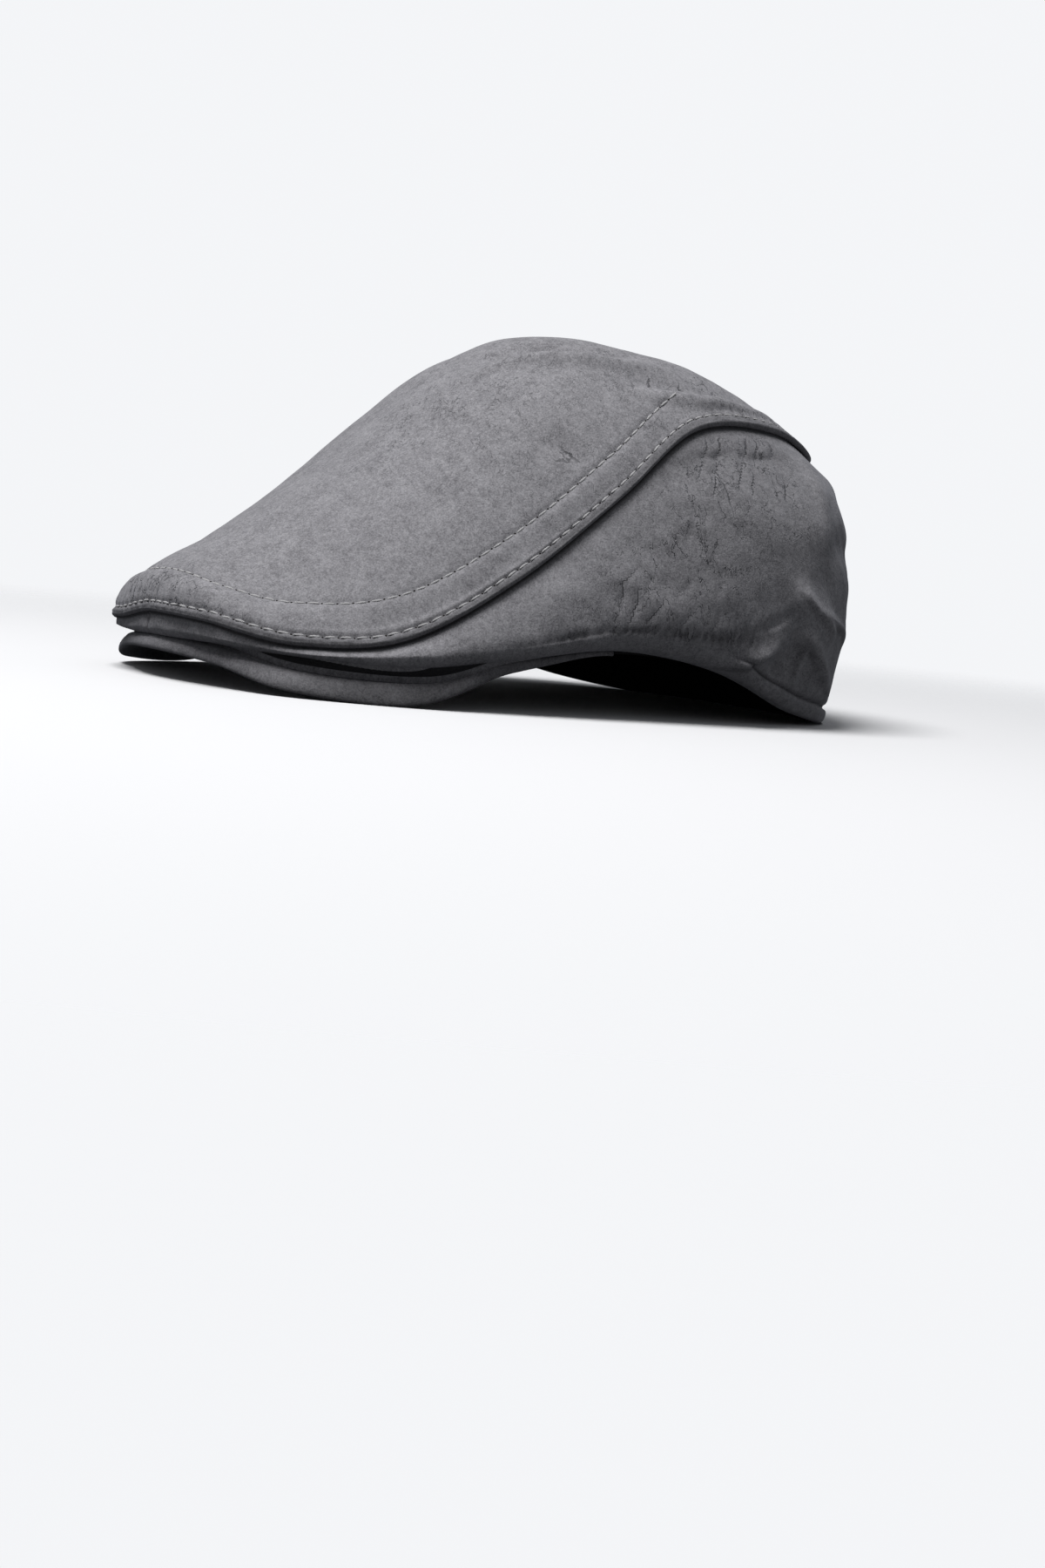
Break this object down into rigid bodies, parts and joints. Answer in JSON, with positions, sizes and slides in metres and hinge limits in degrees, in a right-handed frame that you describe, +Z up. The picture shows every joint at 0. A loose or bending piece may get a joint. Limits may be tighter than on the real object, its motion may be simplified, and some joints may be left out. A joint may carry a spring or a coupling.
{
  "type": "flat cap",
  "caption": "Flat cap in matte suede-like cloth with a domed top panel lapped over two side panels, a short curved peak and an inner head band.",
  "frame": {"origin": "centre of the bounding box on the floor that the cap rests on", "axes": "+Z up, -Y the way the peak points, +X the wearer's left"},
  "size_m": [0.1922, 0.2681, 0.1289],
  "materials": {
    "outer_cloth": "soft matte faux suede in mid grey with a short brushed nap",
    "lining": "smooth black woven cloth",
    "thread": "matte grey sewing thread"
  },
  "bodies": {
    "root": {"top_panel": "outer_cloth", "side_panel_left": "outer_cloth", "side_panel_right": "outer_cloth", "peak": "outer_cloth", "head_band": "lining"}
  },
  "joints": []
}
